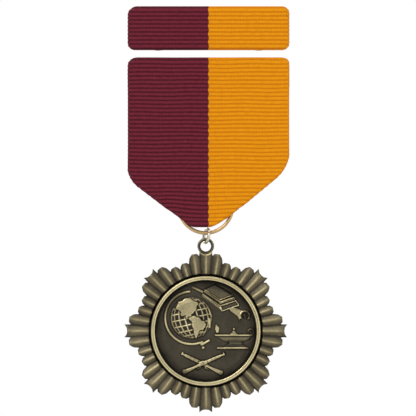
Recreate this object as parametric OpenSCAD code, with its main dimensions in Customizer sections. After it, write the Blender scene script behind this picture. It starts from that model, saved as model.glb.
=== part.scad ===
// Two-piece service medal: a rayed star on a folded ribbon drape, and its ribbon bar.
// Upright as worn: X to the viewer's right, -Y to the viewer, Z up, in millimetres.
// The origin is the centre of the drape brooch's back face, which lies on the garment.

/* [Ribbon] */
// Width of the woven ribbon
ribbon_w = 35; // [33:0.5:37]
// Thickness of one layer of ribbon
ribbon_t = 0.45; // [0.35:0.05:0.5]
// Height of the ribbon bar, folds included
bar_h = 9.55; // [9.2:0.05:10.5]
// Gap between the ribbon bar and the drape
bar_gap = 1.55; // [1:0.05:6]
// Length of the drape from its top fold to its pointed end
drape_len = 37; // [36.5:0.1:37]
// Height at which the left edge would meet its slope, below the top
left_shoulder = 26.5; // [25:0.1:27]
// Height at which the right edge would meet its slope, below the top
right_shoulder = 24.36; // [23:0.1:26]

/* [Brooch] */
// Height of each brooch's back plate
plate_h = 8.7; // [8:0.1:9]
// Thickness of each back plate
plate_t = 0.7; // [0.5:0.05:0.9]
// Thickness of the flat core inside the ribbon
core_t = 1; // [1:0.05:1.1]
// Distance between the two pins of a brooch
pin_span = 22; // [18:0.5:24]
// Radius of a pin
pin_r = 0.5; // [0.45:0.01:0.55]
// Length of a pin from the back plate to its point
pin_len = 9.2; // [9:0.1:10]

/* [Clutches] */
// Outer radius of a clutch's cup
cup_r = 4.7; // [4.6:0.05:4.8]
// Distance of a seated cup from the back plate
cup_seat = 2.1; // [1.6:0.1:2.2]

/* [Rings] */
// Radius of the suspension ring along the middle of its wire
ring_r = 5.85; // [5.8:0.01:5.9]
// Radius of the suspension ring's wire
ring_wire_r = 0.4; // [0.35:0.01:0.4]
// Radius of the jump ring along the middle of its wire
jump_r = 1.5; // [1.5:0.01:1.52]
// Radius of the jump ring's wire
jump_wire_r = 0.32; // [0.25:0.01:0.32]
// Turn of the jump ring about the vertical, away from edge-on
jump_yaw = 20; // [10:1:25]
// Lean of the jump ring to the right
jump_lean = 10; // [0:1:12]

/* [Star] */
// Radius to the corners of the eight long rays
star_r = 17.7; // [17:0.1:18]
// Thickness of the star at the crest of a ray
star_t = 2.1; // [2:0.1:2.3]
// Outer radius of the medallion
medallion_r = 12; // [11.8:0.1:12.2]
// Width of the medallion's raised rim
rim_w = 1.17; // [0.9:0.01:1.3]

/* [Hidden] */

maroon = "#732f3d";
gold = "#e89a0a";
brass = "#c9a860";
old_brass = "#8a8460";
steel = "#b9bcc0";

$fn = 64;
cut = 1; // how far a cutting shape runs past what it cuts
round_steps = 8; // straight pieces in a rounded outline corner

// Layers from the garment (y = 0) to the viewer
packet_back = -plate_t;
core_back = packet_back - ribbon_t;
core_front = core_back - core_t;
packet_front = core_front - ribbon_t;
ring_y = (core_back + core_front) / 2;
fold_r = ribbon_t + core_t / 2;

// The drape's top is above the origin by half a plate and its margin
plate_margin = (bar_h - plate_h) / 2;
drape_top = plate_h / 2 + plate_margin;
tip_z = drape_top - drape_len;
pin_z = 0;
bar_z = drape_top + bar_gap + bar_h / 2;

// The drape's outline: square top corners softly rounded, shoulders, a blunt point
tip_left = -3.77;
tip_right = 2.35;
side = ribbon_w / 2;
drape_corners = [
    [-side, drape_top], [side, drape_top],
    [side, drape_top - right_shoulder], [tip_right, tip_z],
    [tip_left, tip_z], [-side, drape_top - left_shoulder]
];
drape_radii = [2.2, 1.5, 8.5, 1.4, 1.4, 6];
bar_corners = [
    [-side, bar_h / 2], [side, bar_h / 2], [side, -bar_h / 2], [-side, -bar_h / 2]
];
bar_radii = [2, 1.5, 1.5, 1.5];

// Everything that hangs is on one plumb line, a little left of the ribbon's middle
hang_x = -0.6;
ring_low_z = tip_z - 1.25;
ring_z = ring_low_z + ring_r;
jump_dx = 0.15;
jump_dz = -0.65;
eye_r = 1.48;
eye_wire_r = 0.33;
eye_z = ring_low_z - 2.85;
eye_sink = 18.45; // from the star's centre to the eye's
star_z = eye_z - eye_sink;
star_back = ring_y + star_t / 2;
ring_room = 0.3; // between the ring's wire and the folded corners
stitch_z = ring_z + ring_r - ring_wire_r - 0.75;
stitch_r = 0.16;
foot_r = 1.3; // of the disc at the root of a pin
stitch_pitch = 0.9;

// Medallion
crest_rise = 0.35; // of a ray's crest over the star's body
star_front = star_back - star_t + crest_rise;
seat_depth = 0.7; // how deep the medallion sits in the star
seat_y = star_front + seat_depth;
field_y = star_back - star_t + 0.1;
rim_front = field_y - 0.75;
relief_t = 0.55;
globe_r = 4.3;
rivet_r = 1.2;

// ---------- helpers ----------

function unit(v) = v / norm(v);

// Points of a closed outline whose corners are replaced by arcs of the given radii.
// The outline runs clockwise.
function rounded(p, r) = [
    for (i = [0:len(p) - 1])
        let (
            n = len(p),
            a = unit(p[(i + n - 1) % n] - p[i]),
            b = unit(p[(i + 1) % n] - p[i]),
            half = acos(a * b) / 2,
            reach = r[i] / tan(half),
            middle = p[i] + unit(a + b) * r[i] / sin(half),
            from = p[i] + a * reach - middle,
            to = p[i] + b * reach - middle,
            start = atan2(from[1], from[0]),
            turn = atan2(from[0] * to[1] - from[1] * to[0], from * to)
        )
        for (k = [0:round_steps])
            let (t = start + turn * k / round_steps)
            middle + r[i] * [cos(t), sin(t)]
];

// An outline drawn in X and Z, made solid from y0 to y1 (y1 nearer the viewer)
module upright(y0, y1) {
    translate([0, y0, 0]) rotate([90, 0, 0]) linear_extrude(y0 - y1) children();
}

module block(x, y, z) {
    translate([min(x), min(y), min(z)])
        cube([abs(x[1] - x[0]), abs(y[1] - y[0]), abs(z[1] - z[0])]);
}

module rod_x(r, x0, x1, y, z) {
    translate([x0, y, z]) rotate([0, 90, 0]) cylinder(r = r, h = x1 - x0);
}

module rod_y(r, y0, y1, x, z) {
    translate([x, y0, z]) rotate([-90, 0, 0]) cylinder(r = r, h = y1 - y0);
}

module torus(r, wire) {
    rotate_extrude($fn = 96) translate([r, 0]) circle(r = wire, $fn = 32);
}

// ---------- ribbons ----------

// The colour's half of the ribbon: maroon left, gold right
module half(right) {
    reach = ribbon_w;
    block(right ? [0, reach] : [-reach, 0], [-reach, reach], [-3 * reach, reach]);
}

module drape_outline() polygon(rounded(drape_corners, drape_radii));
module bar_outline() polygon(rounded(bar_corners, bar_radii));

// A fold over the top of the core, with both layers below it
module draped_layers(top, low) {
    difference() {
        union() {
            block([-side, side], [packet_back, packet_front], [low, top - fold_r]);
            rod_x(fold_r, -side, side, ring_y, top - fold_r);
        }
        block([-side - cut, side + cut], [core_back, core_front], [low - cut, top - fold_r]);
        rod_x(core_t / 2, -side - cut, side + cut, ring_y, top - fold_r);
    }
}

// The corners turned in behind the front layer, clear of the ring
module corner_flaps() {
    flap_top = drape_top - 23;
    difference() {
        intersection() {
            upright(core_back, core_front) drape_outline();
            union() {
                upright(core_back, core_front)
                    polygon([[-side, drape_top - left_shoulder + 3], [-7.4, flap_top], [tip_left, tip_z],
                             [-side, tip_z]]);
                upright(core_back, core_front)
                    polygon([[side, drape_top - right_shoulder + 4], [side, tip_z], [tip_right, tip_z],
                             [6.6, flap_top + 1]]);
            }
        }
        rod_y(ring_r + ring_wire_r + ring_room, core_front - cut, core_back + cut, hang_x, ring_z);
    }
}

// The tip passes through the ring from front to back
module tip_fold() {
    intersection() {
        upright(core_back, core_front) drape_outline();
        block([-side, side], [core_back, core_front], [tip_z, tip_z + ribbon_t]);
        rod_y(ring_r - ring_wire_r - 0.15, core_front - cut, core_back + cut, hang_x, ring_z);
    }
}

module drape_packet(right) {
    intersection() {
        half(right);
        difference() {
            union() {
                intersection() {
                    draped_layers(drape_top, tip_z);
                    upright(cut, packet_front - cut) drape_outline();
                }
                corner_flaps();
                tip_fold();
            }
            stitch_threads();
        }
    }
}

module bar_packet(right) {
    translate([0, 0, bar_z]) intersection() {
        half(right);
        upright(cut, packet_front - cut) bar_outline();
        difference() {
            union() {
                block([-side, side], [packet_back, packet_front],
                      [-bar_h / 2 + fold_r, bar_h / 2 - fold_r]);
                for (z = [-1, 1])
                    rod_x(fold_r, -side, side, ring_y, z * (bar_h / 2 - fold_r));
            }
            bar_core_shape();
        }
    }
}

// ---------- brooches ----------

module drape_core_shape() {
    reach = side - ribbon_t;
    intersection() {
        union() {
            block([-reach, reach], [core_back, core_front],
                  [-plate_h / 2, drape_top - fold_r]);
            rod_x(core_t / 2, -reach, reach, ring_y, drape_top - fold_r);
        }
        upright(cut, packet_front - cut) drape_outline();
    }
}

module bar_core_shape() {
    edge = bar_h / 2 - fold_r;
    block([-side - cut, side + cut], [core_back, core_front], [-edge, edge]);
    for (z = [-1, 1]) rod_x(core_t / 2, -side - cut, side + cut, ring_y, z * edge);
}

module back_plate_shape() {
    w = side - 1;
    h = plate_h / 2;
    difference() {
        upright(0, -plate_t)
            polygon(rounded([[-w, h], [w, h], [w, -h], [-w, -h]], [1.5, 1.5, 1.5, 1.5]));
        for (s = [-1, 1]) rod_y(foot_r, -plate_t - cut, cut, s * pin_span / 2, 0);
    }
}

// A pin with a foot let into the plate, a shaft, a clutch groove, a free shaft and a point
module pin_shape() {
    groove = [4.2, 4.8];
    groove_depth = 0.17;
    point = 1.3;
    rotate([-90, 0, 0]) {
        translate([0, 0, -plate_t]) cylinder(r = foot_r, h = plate_t);
        cylinder(r = pin_r, h = groove[0]);
        cylinder(r = pin_r - groove_depth, h = groove[1]);
        translate([0, 0, groove[1]]) cylinder(r = pin_r, h = pin_len - point - groove[1]);
        translate([0, 0, pin_len - point]) cylinder(r1 = pin_r, r2 = 0.08, h = point);
    }
}

// ---------- clutches ----------

cup_wall = 0.4;
cup_floor = 0.3;
cup_h = 1.8;
pin_room = 0.08;
wing_y = cup_seat + 0.95;
wing_dz = 2.9;
wing_t = 0.3;
wing_w = 4.6;
wing_len = 4.2;
wing_tilt = 15;

// A turned cup with two windows for the wings
module cup_shape() {
    inner = cup_r - cup_wall;
    difference() {
        translate([0, cup_seat, 0]) rotate([-90, 0, 0]) rotate_extrude($fn = 96)
            difference() {
                translate([pin_r + pin_room, 0]) square([cup_r - pin_r - pin_room, cup_h]);
                translate([-cut, cup_floor]) square([inner + cut, cup_h - 2 * cup_floor]);
            }
        for (s = [-1, 1])
            block([-2.7, 2.7], [cup_seat + cup_h / 2, cup_seat + cup_h + cut],
                  s > 0 ? [2.5, 3.75] : [-3.75, -2.5]);
    }
}

// A spring wing: its foot grips the pin inside the cup, its ear stands out of the window
module wing_shape() {
    jaw = 0.62;
    difference() {
        union() {
            block([-wing_w / 2, wing_w / 2], [wing_y - wing_t / 2, wing_y + wing_t / 2],
                  [0.3, wing_dz]);
            rod_x(wing_t / 2, -wing_w / 2, wing_w / 2, wing_y, wing_dz);
            translate([0, wing_y, wing_dz]) rotate([wing_tilt, 0, 0])
                translate([0, 0, -wing_t / 2]) linear_extrude(wing_t) wing_outline();
        }
        rod_y(jaw, 0, wing_y + 2, 0, 0);
    }
}

module wing_outline() {
    r = wing_w / 2;
    translate([-r, 0]) square([wing_w, wing_len - r]);
    translate([0, wing_len - r]) circle(r = r);
}

module at_pin(right, z) {
    translate([(right ? 1 : -1) * pin_span / 2, 0, z]) children();
}

module wing(right, z, upper) {
    color(brass) at_pin(right, z) mirror([0, 0, upper ? 0 : 1]) wing_shape();
}

module cup(right, z) {
    color(brass) at_pin(right, z) cup_shape();
}

// ---------- star ----------

// Half a group of rays, from the middle of a long ray: [angle, radius] pairs
ray_profile = [
    [0, star_r - 0.44], [2.6, star_r - 0.3], [4.3, star_r], [5.1, star_r - 1.35],
    [7.2, star_r - 0.98], [9.2, star_r - 0.94], [11.6, star_r - 1.1], [13.6, star_r - 1.75],
    [14.7, star_r - 2.75], [16.6, star_r - 2.42], [18.6, star_r - 2.35], [20.8, star_r - 2.55],
    [22.2, star_r - 3.05]
];

function polar(a, r) = [r * sin(a), r * cos(a)];

star_points = [
    for (k = [0:7], side_of = [0, 1], i = [0:len(ray_profile) - 1])
        let (
            j = side_of == 0 ? i : len(ray_profile) - 1 - i,
            sign_of = side_of == 0 ? 1 : -1,
            a = k * 45 + (side_of == 0 ? 0 : 45) + sign_of * ray_profile[j][0]
        )
        if (!(side_of == 1 && i == len(ray_profile) - 1)) polar(a, ray_profile[j][1])
];

module star_body() {
    difference() {
        union() {
            translate([hang_x, 0, star_z]) upright(star_back, star_front) polygon(star_points);
            translate([hang_x, ring_y, eye_z]) rotate([90, 0, 0]) torus(eye_r, eye_wire_r);
            ray_crests(star_front);
        }
        rod_y(medallion_r, star_front - cut, star_front + seat_depth, hang_x, star_z);
        rod_y(rivet_r, star_front - cut, star_back + cut, hang_x, star_z);
    }
}

// A half-round crest along the middle of every ray
module ray_crests(y) {
    crest = [[0, star_r - 0.5], [9.2, star_r - 1.1], [18.4, star_r - 2.5],
             [26.6, star_r - 2.5], [35.8, star_r - 1.1]];
    for (k = [0:7], c = crest)
        translate([hang_x, y, star_z]) rotate([0, k * 45 + c[0], 0])
            translate([0, 0, medallion_r - 0.4])
                cylinder(r = 0.38, h = c[1] - medallion_r + 0.4, $fn = 16);
}

// ---------- medallion ----------

module medallion_body() {
    translate([hang_x, 0, star_z]) {
        difference() {
            rod_y(medallion_r, rim_front, seat_y, 0, 0);
            rod_y(medallion_r - rim_w, rim_front - cut, field_y, 0, 0);
        }
        relief();
    }
}

// The four emblems stand on the field: a globe, books and a spanner, a lamp, crossed arms
module relief() {
    front = field_y - relief_t;
    base = field_y + 0.1;
    translate([-2.85, 0, 2.85]) {
        translate([0, base, 0]) rotate([90, 0, 0]) cylinder(r = globe_r, h = relief_t / 2);
        translate([0, base - relief_t / 2, 0]) rotate([90, 0, 0])
            cylinder(r1 = globe_r, r2 = globe_r / 2, h = relief_t);
        upright(base, field_y - 0.35) globe_stand();
    }
    upright(base, front) books();
    upright(base, front + 0.1) spanner();
    upright(base, front) lamp();
    upright(base, front + 0.1) {
        long_arm([-5.1, -4.95], [3.6, -9.15]);
        long_arm([4.0, -5.05], [-4.95, -8.95]);
    }
}

module bar2d(p, q, w) {
    d = q - p;
    translate(p) rotate(atan2(d[1], d[0])) translate([0, -w / 2]) square([norm(d), w]);
}

module globe_stand() {
    difference() {
        circle(r = 5.75);
        circle(r = 5.2);
        rotate(-38) translate([-10, 0]) square([20, 12]);
    }
    bar2d([1.9, -5.4], [2.4, -6.2], 0.8);
}

module books() {
    polygon([[-0.5, 7.8], [2.7, 9.9], [6.1, 8.2], [6.1, 7.3], [3.0, 4.2], [-0.1, 5.6]]);
}

module spanner() {
    bar2d([5.6, 6.4], [8.0, 4.0], 0.8);
    difference() {
        translate([8.45, 3.4]) circle(r = 1.15);
        translate([8.45, 3.4]) rotate(-45) translate([0, -0.45]) square([2, 0.9]);
    }
}

module lamp() {
    polygon([[2.1, -0.9], [9.3, -0.9], [9.9, -1.3], [8.6, -2.2], [6.9, -2.75], [6.9, -3.5],
             [9.3, -3.75], [9.3, -4.1], [2.7, -4.1], [2.7, -3.75], [5.2, -3.5], [5.2, -2.75],
             [3.6, -2.1]]);
    translate([6, -0.4]) circle(r = 0.9, $fn = 24);
    translate([9.3, -0.4]) difference() {
        circle(r = 0.85, $fn = 24);
        circle(r = 0.4, $fn = 24);
    }
    polygon([[2.3, -1.1], [3.1, 0.2], [2.9, 1.4], [2.2, 0.5]]);
}

module long_arm(butt, muzzle) {
    d = muzzle - butt;
    translate(butt) rotate(atan2(d[1], d[0]))
        polygon([[0, -0.55], [0, 0.6], [1.9, 0.35], [2.9, 0.4], [6.6, 0.22], [norm(d), 0.2],
                 [norm(d), -0.15], [4.2, -0.25], [3.7, -0.7], [3.2, -0.3], [2.2, -0.2]]);
}

// ---------- the pieces ----------

module drape_core() color(brass) drape_core_shape();
module drape_ribbon_maroon() color(maroon) drape_packet(false);
module drape_ribbon_gold() color(gold) drape_packet(true);
module drape_back_plate() color(brass) back_plate_shape();
module drape_pin_left() color(steel) at_pin(false, pin_z) pin_shape();
module drape_pin_right() color(steel) at_pin(true, pin_z) pin_shape();

module bar_core() {
    reach = side - ribbon_t;
    color(brass) translate([0, 0, bar_z]) intersection() {
        bar_core_shape();
        upright(cut, packet_front - cut) bar_outline();
        block([-reach, reach], [cut, packet_front - cut], [-bar_h, bar_h]);
    }
}

module bar_ribbon_maroon() color(maroon) bar_packet(false);
module bar_ribbon_gold() color(gold) bar_packet(true);
module bar_back_plate() color(brass) translate([0, 0, bar_z]) back_plate_shape();
module bar_pin_left() color(steel) at_pin(false, bar_z) pin_shape();
module bar_pin_right() color(steel) at_pin(true, bar_z) pin_shape();

// Threads that cross the packet just under the ring's top, with a bar on its back
module stitch_threads() {
    for (i = [-2:2])
        rod_y(stitch_r, core_front - ribbon_t / 2, packet_back,
              hang_x + (i + 0.5) * stitch_pitch, stitch_z);
}

module tack_stitches() {
    color("#5c2430") {
        stitch_threads();
        rod_x(stitch_r, hang_x - 1.6 * stitch_pitch - 0.2, hang_x + 2.6 * stitch_pitch + 0.2,
              packet_back + stitch_r * 0.8, stitch_z);
    }
}

module suspension_ring() {
    color(brass) translate([hang_x, ring_y, ring_z]) rotate([90, 0, 0])
        torus(ring_r, ring_wire_r);
}

module jump_ring() {
    color("#e0dcc4") translate([hang_x + jump_dx, ring_y, ring_low_z + jump_dz])
        rotate([0, jump_lean, 0]) rotate([0, 0, jump_yaw]) rotate([0, 90, 0])
            torus(jump_r, jump_wire_r);
}

module star() color(old_brass) star_body();
module medallion() color(old_brass) medallion_body();

// A post through the star, closed over at the back
module medallion_rivet() {
    head_t = 0.35;
    color(old_brass) {
        rod_y(rivet_r, seat_y, star_back + head_t, hang_x, star_z);
        rod_y(2 * rivet_r, star_back, star_back + head_t, hang_x, star_z);
    }
}

drape_core();
drape_ribbon_maroon();
drape_ribbon_gold();
drape_back_plate();
drape_pin_left();
drape_pin_right();
tack_stitches();
bar_core();
bar_ribbon_maroon();
bar_ribbon_gold();
bar_back_plate();
bar_pin_left();
bar_pin_right();
cup(false, pin_z);  // drape_left_cup
wing(false, pin_z, true);  // drape_left_upper_wing
wing(false, pin_z, false);  // drape_left_lower_wing
cup(true, pin_z);  // drape_right_cup
wing(true, pin_z, true);  // drape_right_upper_wing
wing(true, pin_z, false);  // drape_right_lower_wing
cup(false, bar_z);  // bar_left_cup
wing(false, bar_z, true);  // bar_left_upper_wing
wing(false, bar_z, false);  // bar_left_lower_wing
cup(true, bar_z);  // bar_right_cup
wing(true, bar_z, true);  // bar_right_upper_wing
wing(true, bar_z, false);  // bar_right_lower_wing
suspension_ring();
jump_ring();
star();
medallion();
medallion_rivet();
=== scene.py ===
"""A service medal on its folded ribbon, with its ribbon bar, brooches and clutches.

X is to the viewer's right, -Y to the viewer and Z up. The frame is in metres; shapes are
worked out here in millimetres and turned into metres when their mesh is made.
"""
import math

import bmesh
import bpy
import numpy as np
from bpy.props import FloatProperty, FloatVectorProperty, IntProperty, PointerProperty
from mathutils import Matrix, Vector


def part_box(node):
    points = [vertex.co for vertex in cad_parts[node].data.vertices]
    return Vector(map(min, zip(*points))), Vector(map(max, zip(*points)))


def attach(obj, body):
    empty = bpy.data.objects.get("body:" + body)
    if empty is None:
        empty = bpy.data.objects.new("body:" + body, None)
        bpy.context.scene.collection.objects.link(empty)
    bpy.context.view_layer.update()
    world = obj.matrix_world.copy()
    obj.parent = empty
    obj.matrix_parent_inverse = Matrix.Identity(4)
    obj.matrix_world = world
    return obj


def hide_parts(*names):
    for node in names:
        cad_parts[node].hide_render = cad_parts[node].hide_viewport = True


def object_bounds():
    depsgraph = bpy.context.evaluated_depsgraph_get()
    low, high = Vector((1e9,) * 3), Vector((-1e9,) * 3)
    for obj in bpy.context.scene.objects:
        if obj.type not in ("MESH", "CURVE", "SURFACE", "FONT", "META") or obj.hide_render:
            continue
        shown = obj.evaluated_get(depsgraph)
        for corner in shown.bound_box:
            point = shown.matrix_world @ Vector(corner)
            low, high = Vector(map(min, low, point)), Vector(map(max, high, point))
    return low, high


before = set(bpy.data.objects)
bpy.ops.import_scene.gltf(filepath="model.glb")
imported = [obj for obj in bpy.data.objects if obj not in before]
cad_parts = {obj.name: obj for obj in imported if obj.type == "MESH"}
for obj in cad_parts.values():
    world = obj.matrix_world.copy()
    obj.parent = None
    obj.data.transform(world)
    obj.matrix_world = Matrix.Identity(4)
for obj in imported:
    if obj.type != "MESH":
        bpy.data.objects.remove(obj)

bl_info = {
    "name": "Service medal",
    "version": (1, 0, 0),
    "blender": (4, 5, 0),
    "location": "3D View > Sidebar > Medal",
    "description": "Builds a rayed medal on a folded two-colour ribbon, with its ribbon bar",
    "category": "Add Mesh",
}

CAD_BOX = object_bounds()
MM = 0.001
CLOTH_SPAN = 100.0  # millimetres of ribbon in one unit of its UV map


def cad(node):
    """Lowest and highest corner of a CAD node, in millimetres."""
    low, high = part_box(node)
    return np.array(low) / MM, np.array(high) / MM


def middle(node):
    low, high = cad(node)
    return (low + high) / 2


# Places that several pieces share, in millimetres
DRAPE_LOW = cad("drape_ribbon_maroon")[0]
DRAPE_HIGH = cad("drape_ribbon_gold")[1]
SIDE = DRAPE_HIGH[0]
LAYER_Y = (DRAPE_LOW[1] + DRAPE_HIGH[1]) / 2  # middle of the drape's thickness
FOLD_R = 0.725  # of the middle of the cloth, round the core and round the tip
CLOTH_HALF = 0.225  # from the middle of the cloth to the CAD's outer skin
CURL = 0.62  # how far inside the sides the cloth folds over at its corners
RING_AT = middle("suspension_ring")
STAR_AT = middle("medallion_rivet")
STAR_BACK = -0.6  # Y of the star's flat back
PIN_NODES = ("drape_pin_left", "drape_pin_right", "bar_pin_left", "bar_pin_right")


# ---------- meshes ----------

class Shape:
    """Points, faces and wear of a piece, gathered part by part; the wear can also hold painted
    shade and painted highlights.
    """

    def __init__(self):
        self.points, self.faces, self.wear_and_shading, self.count = [], [], [], 0

    def add(self, points, faces, wear_and_shading=0.0):
        points = np.asarray(points, float).reshape(-1, 3)
        self.points.append(points)
        self.faces += [[int(i) + self.count for i in face] for face in faces]
        self.wear_and_shading.append(np.broadcast_to(np.asarray(wear_and_shading, float).ravel(), len(points)))
        self.count += len(points)
        return self

    def make(self, name, sharp=40):
        return make(name, np.concatenate(self.points), self.faces,
                    {"wear_and_shading": np.concatenate(self.wear_and_shading)}, sharp=sharp)


def make(name, points, faces, values=None, cloth=None, sharp=None):
    """A mesh object from points in millimetres, its faces turned outwards.

    values are floats for each point by name, and cloth is the UV map.
    """
    mesh = bpy.data.meshes.new(name)
    mesh.from_pydata((np.asarray(points) * MM).tolist(), [], [list(map(int, f)) for f in faces])
    for label, numbers in (values or {}).items():
        mesh.attributes.new(label, "FLOAT", "POINT").data.foreach_set(
            "value", np.ascontiguousarray(numbers, np.float32))
    if cloth is not None:
        corners = np.empty(len(mesh.loops), np.int32)
        mesh.loops.foreach_get("vertex_index", corners)
        mesh.uv_layers.new(name="cloth").data.foreach_set(
            "uv", np.ascontiguousarray(cloth[corners].ravel(), np.float32))
    shell = bmesh.new()
    shell.from_mesh(mesh)
    bmesh.ops.recalc_face_normals(shell, faces=shell.faces)
    shell.to_mesh(mesh)
    shell.free()
    shade(mesh, sharp)
    return link(name, mesh)


def link(name, data):
    """A new object in the scene."""
    obj = bpy.data.objects.new(name, data)
    bpy.context.scene.collection.objects.link(obj)
    return obj


def shade(mesh, sharp):
    """Smooth shading, with the edges over sharp degrees kept as corners."""
    mesh.polygons.foreach_set("use_smooth", [True] * len(mesh.polygons))
    if sharp is not None:
        mesh.set_sharp_from_angle(angle=math.radians(sharp))


def grid_faces(rows, cols, wrap_rows=False, wrap_cols=False):
    """Four-sided faces over a grid of points stored row by row."""
    i, j = np.meshgrid(np.arange(rows if wrap_rows else rows - 1),
                       np.arange(cols if wrap_cols else cols - 1), indexing="ij")
    up, right = (i + 1) % rows, (j + 1) % cols
    return np.stack([i * cols + j, i * cols + right, up * cols + right, up * cols + j],
                    -1).reshape(-1, 4)


def open_edges(faces, count):
    """The edges that only one of the four-sided faces over count points uses."""
    edges = np.concatenate([faces[:, [k, (k + 1) % 4]] for k in range(4)]).astype(np.int64)
    there = edges[:, 0] * count + edges[:, 1]
    back = edges[:, 1] * count + edges[:, 0]
    return edges[~np.isin(there, back)]


def two_skins(rows, cols):
    """Faces of a closed plate whose front grid of points is followed by its back grid."""
    grid, count = grid_faces(rows, cols), rows * cols
    rim = ([k for k in range(cols)] + [r * cols + cols - 1 for r in range(1, rows)]
           + [(rows - 1) * cols + k for k in range(cols - 2, -1, -1)]
           + [r * cols for r in range(rows - 2, 0, -1)])
    walls = [[a, b, b + count, a + count] for a, b in zip(rim, rim[1:] + rim[:1])]
    return grid.tolist() + (grid[:, ::-1] + count).tolist() + walls


def turned(profile, centre, steps=64):
    """A closed outline of (radius, y) turned about an axis along Y through centre."""
    profile = np.asarray(profile, float)
    angle = np.linspace(0, 2 * np.pi, steps, endpoint=False)
    points = np.empty((steps, len(profile), 3))
    points[..., 0] = np.outer(np.sin(angle), profile[:, 0]) + centre[0]
    points[..., 1] = profile[:, 1] + centre[1]
    points[..., 2] = np.outer(np.cos(angle), profile[:, 0]) + centre[2]
    return points, grid_faces(steps, len(profile), True, True)


def wire(path, radius, closed=False, sides=20, plane=(0, 1, 0)):
    """A round wire along a path that lies in the plane square to the given direction."""
    path = np.asarray(path, float)
    if closed:
        ahead = np.roll(path, -1, 0) - np.roll(path, 1, 0)
    else:
        ahead = np.gradient(path, axis=0)
    ahead /= np.linalg.norm(ahead, axis=1)[:, None]
    across = np.cross(ahead, np.asarray(plane, float))
    across /= np.linalg.norm(across, axis=1)[:, None]
    up = np.cross(across, ahead)
    angle = np.linspace(0, 2 * np.pi, sides, endpoint=False)
    radius = np.broadcast_to(radius, len(path))[:, None, None]
    ring = (np.cos(angle)[None, :, None] * across[:, None]
            + np.sin(angle)[None, :, None] * up[:, None])
    points = path[:, None] + radius * ring
    faces = grid_faces(len(path), sides, closed, True).tolist()
    if not closed:
        last = (len(path) - 1) * sides
        faces += [list(range(sides)), [last + k for k in range(sides)]]
    return points, faces


def arc(centre, radius, start, end, steps):
    """Points of an arc in the upright plane, in degrees from +X towards +Z."""
    angle = np.radians(np.linspace(start, end, steps))
    return np.stack([centre[0] + radius * np.cos(angle), np.full(steps, float(centre[1])),
                     centre[2] + radius * np.sin(angle)], -1)


def rounded(corners, radii, steps=10):
    """A clockwise outline with each corner replaced by an arc."""
    corners = np.asarray(corners, float)
    points = []
    for i, corner in enumerate(corners):
        back = corners[i - 1] - corner
        ahead = corners[(i + 1) % len(corners)] - corner
        back, ahead = back / np.linalg.norm(back), ahead / np.linalg.norm(ahead)
        half = math.acos(float(back @ ahead)) / 2
        bisector = (back + ahead) / np.linalg.norm(back + ahead)
        centre = corner + bisector * radii[i] / math.sin(half)
        start = corner + back * radii[i] / math.tan(half) - centre
        end = corner + ahead * radii[i] / math.tan(half) - centre
        first = math.atan2(start[1], start[0])
        turn = math.atan2(start[0] * end[1] - start[1] * end[0], float(start @ end))
        angle = first + turn * np.linspace(0, 1, steps + 1)
        points.append(centre + radii[i] * np.stack([np.cos(angle), np.sin(angle)], -1))
    return np.concatenate(points)


def ease(x):
    """A smooth step from 0 to 1."""
    x = np.clip(x, 0, 1)
    return x * x * (3 - 2 * x)


# ---------- node trees ----------

class Tree:
    """A node tree with short ways to add and join nodes."""

    def __init__(self, tree):
        self.tree = tree

    def add(self, kind, inputs=None, **options):
        node = self.tree.nodes.new(kind)
        for name, value in options.items():
            setattr(node, name, value)
        for name, value in (inputs or {}).items():
            self.set(node.inputs[name], value)
        return node

    def set(self, socket, value):
        if isinstance(value, bpy.types.Node):
            value = value.outputs[0]
        if isinstance(value, bpy.types.NodeSocket):
            self.tree.links.new(value, socket)
        else:
            socket.default_value = value

    def math(self, operation, *values, clamp=False):
        return self.add("ShaderNodeMath", dict(enumerate(values)), operation=operation,
                        use_clamp=clamp)

    def plus(self, a, b, clamp=False):
        return self.math("ADD", a, b, clamp=clamp)

    def times(self, a, b, clamp=False):
        return self.math("MULTIPLY", a, b, clamp=clamp)

    def mix(self, share, low, high):
        """A colour between low and high."""
        node = self.add("ShaderNodeMix", data_type="RGBA")
        for index, value in ((0, share), (6, low), (7, high)):
            self.set(node.inputs[index], value)
        return node.outputs[2]

    def ramp(self, share, *stops):
        node = self.add("ShaderNodeValToRGB", {0: share})
        points = node.color_ramp.elements
        while len(points) < len(stops):
            points.new(0.5)
        for point, (place, colour) in zip(points, stops):
            point.position, point.color = place, (*colour, 1)
        return node.outputs[0]

    def noise(self, where, scale, detail=3):
        return self.add("ShaderNodeTexNoise", {"Vector": where, "Scale": scale,
                                               "Detail": detail}).outputs[0]

    def paint(self, shader, share, *stops):
        """Gives a shader the colours of a ramp."""
        self.set(shader.inputs["Base Color"], self.ramp(share, *stops))

    def bump(self, shader, height, strength, distance):
        """A fine relief for a shader, its distance in metres."""
        self.set(shader.inputs["Normal"], self.add("ShaderNodeBump", {
            "Height": height, "Strength": strength, "Distance": distance}))


def new_nodes(name, **inputs):
    """A geometry tree with named inputs, as a Tree, its input and its output node."""
    group = bpy.data.node_groups.new(name, "GeometryNodeTree")
    face = group.interface
    face.new_socket("Geometry", in_out="OUTPUT", socket_type="NodeSocketGeometry")
    face.new_socket("Geometry", in_out="INPUT", socket_type="NodeSocketGeometry")
    for label, value in inputs.items():
        kind = {int: "NodeSocketInt", float: "NodeSocketFloat",
                tuple: "NodeSocketVector"}.get(type(value), "NodeSocketMaterial")
        socket = face.new_socket(label.replace("_", " "), in_out="INPUT", socket_type=kind)
        if value is not None:
            socket.default_value = value
    return Tree(group), group.nodes.new("NodeGroupInput"), group.nodes.new("NodeGroupOutput")


def finish_nodes(tree, start, end, geometry):
    """Ends a geometry tree in Realize Instances and Set Material."""
    plain = tree.add("GeometryNodeRealizeInstances", {"Geometry": geometry})
    painted = tree.add("GeometryNodeSetMaterial",
                       {"Geometry": plain, "Material": start.outputs["Material"]})
    tree.set(end.inputs[0], painted)


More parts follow.
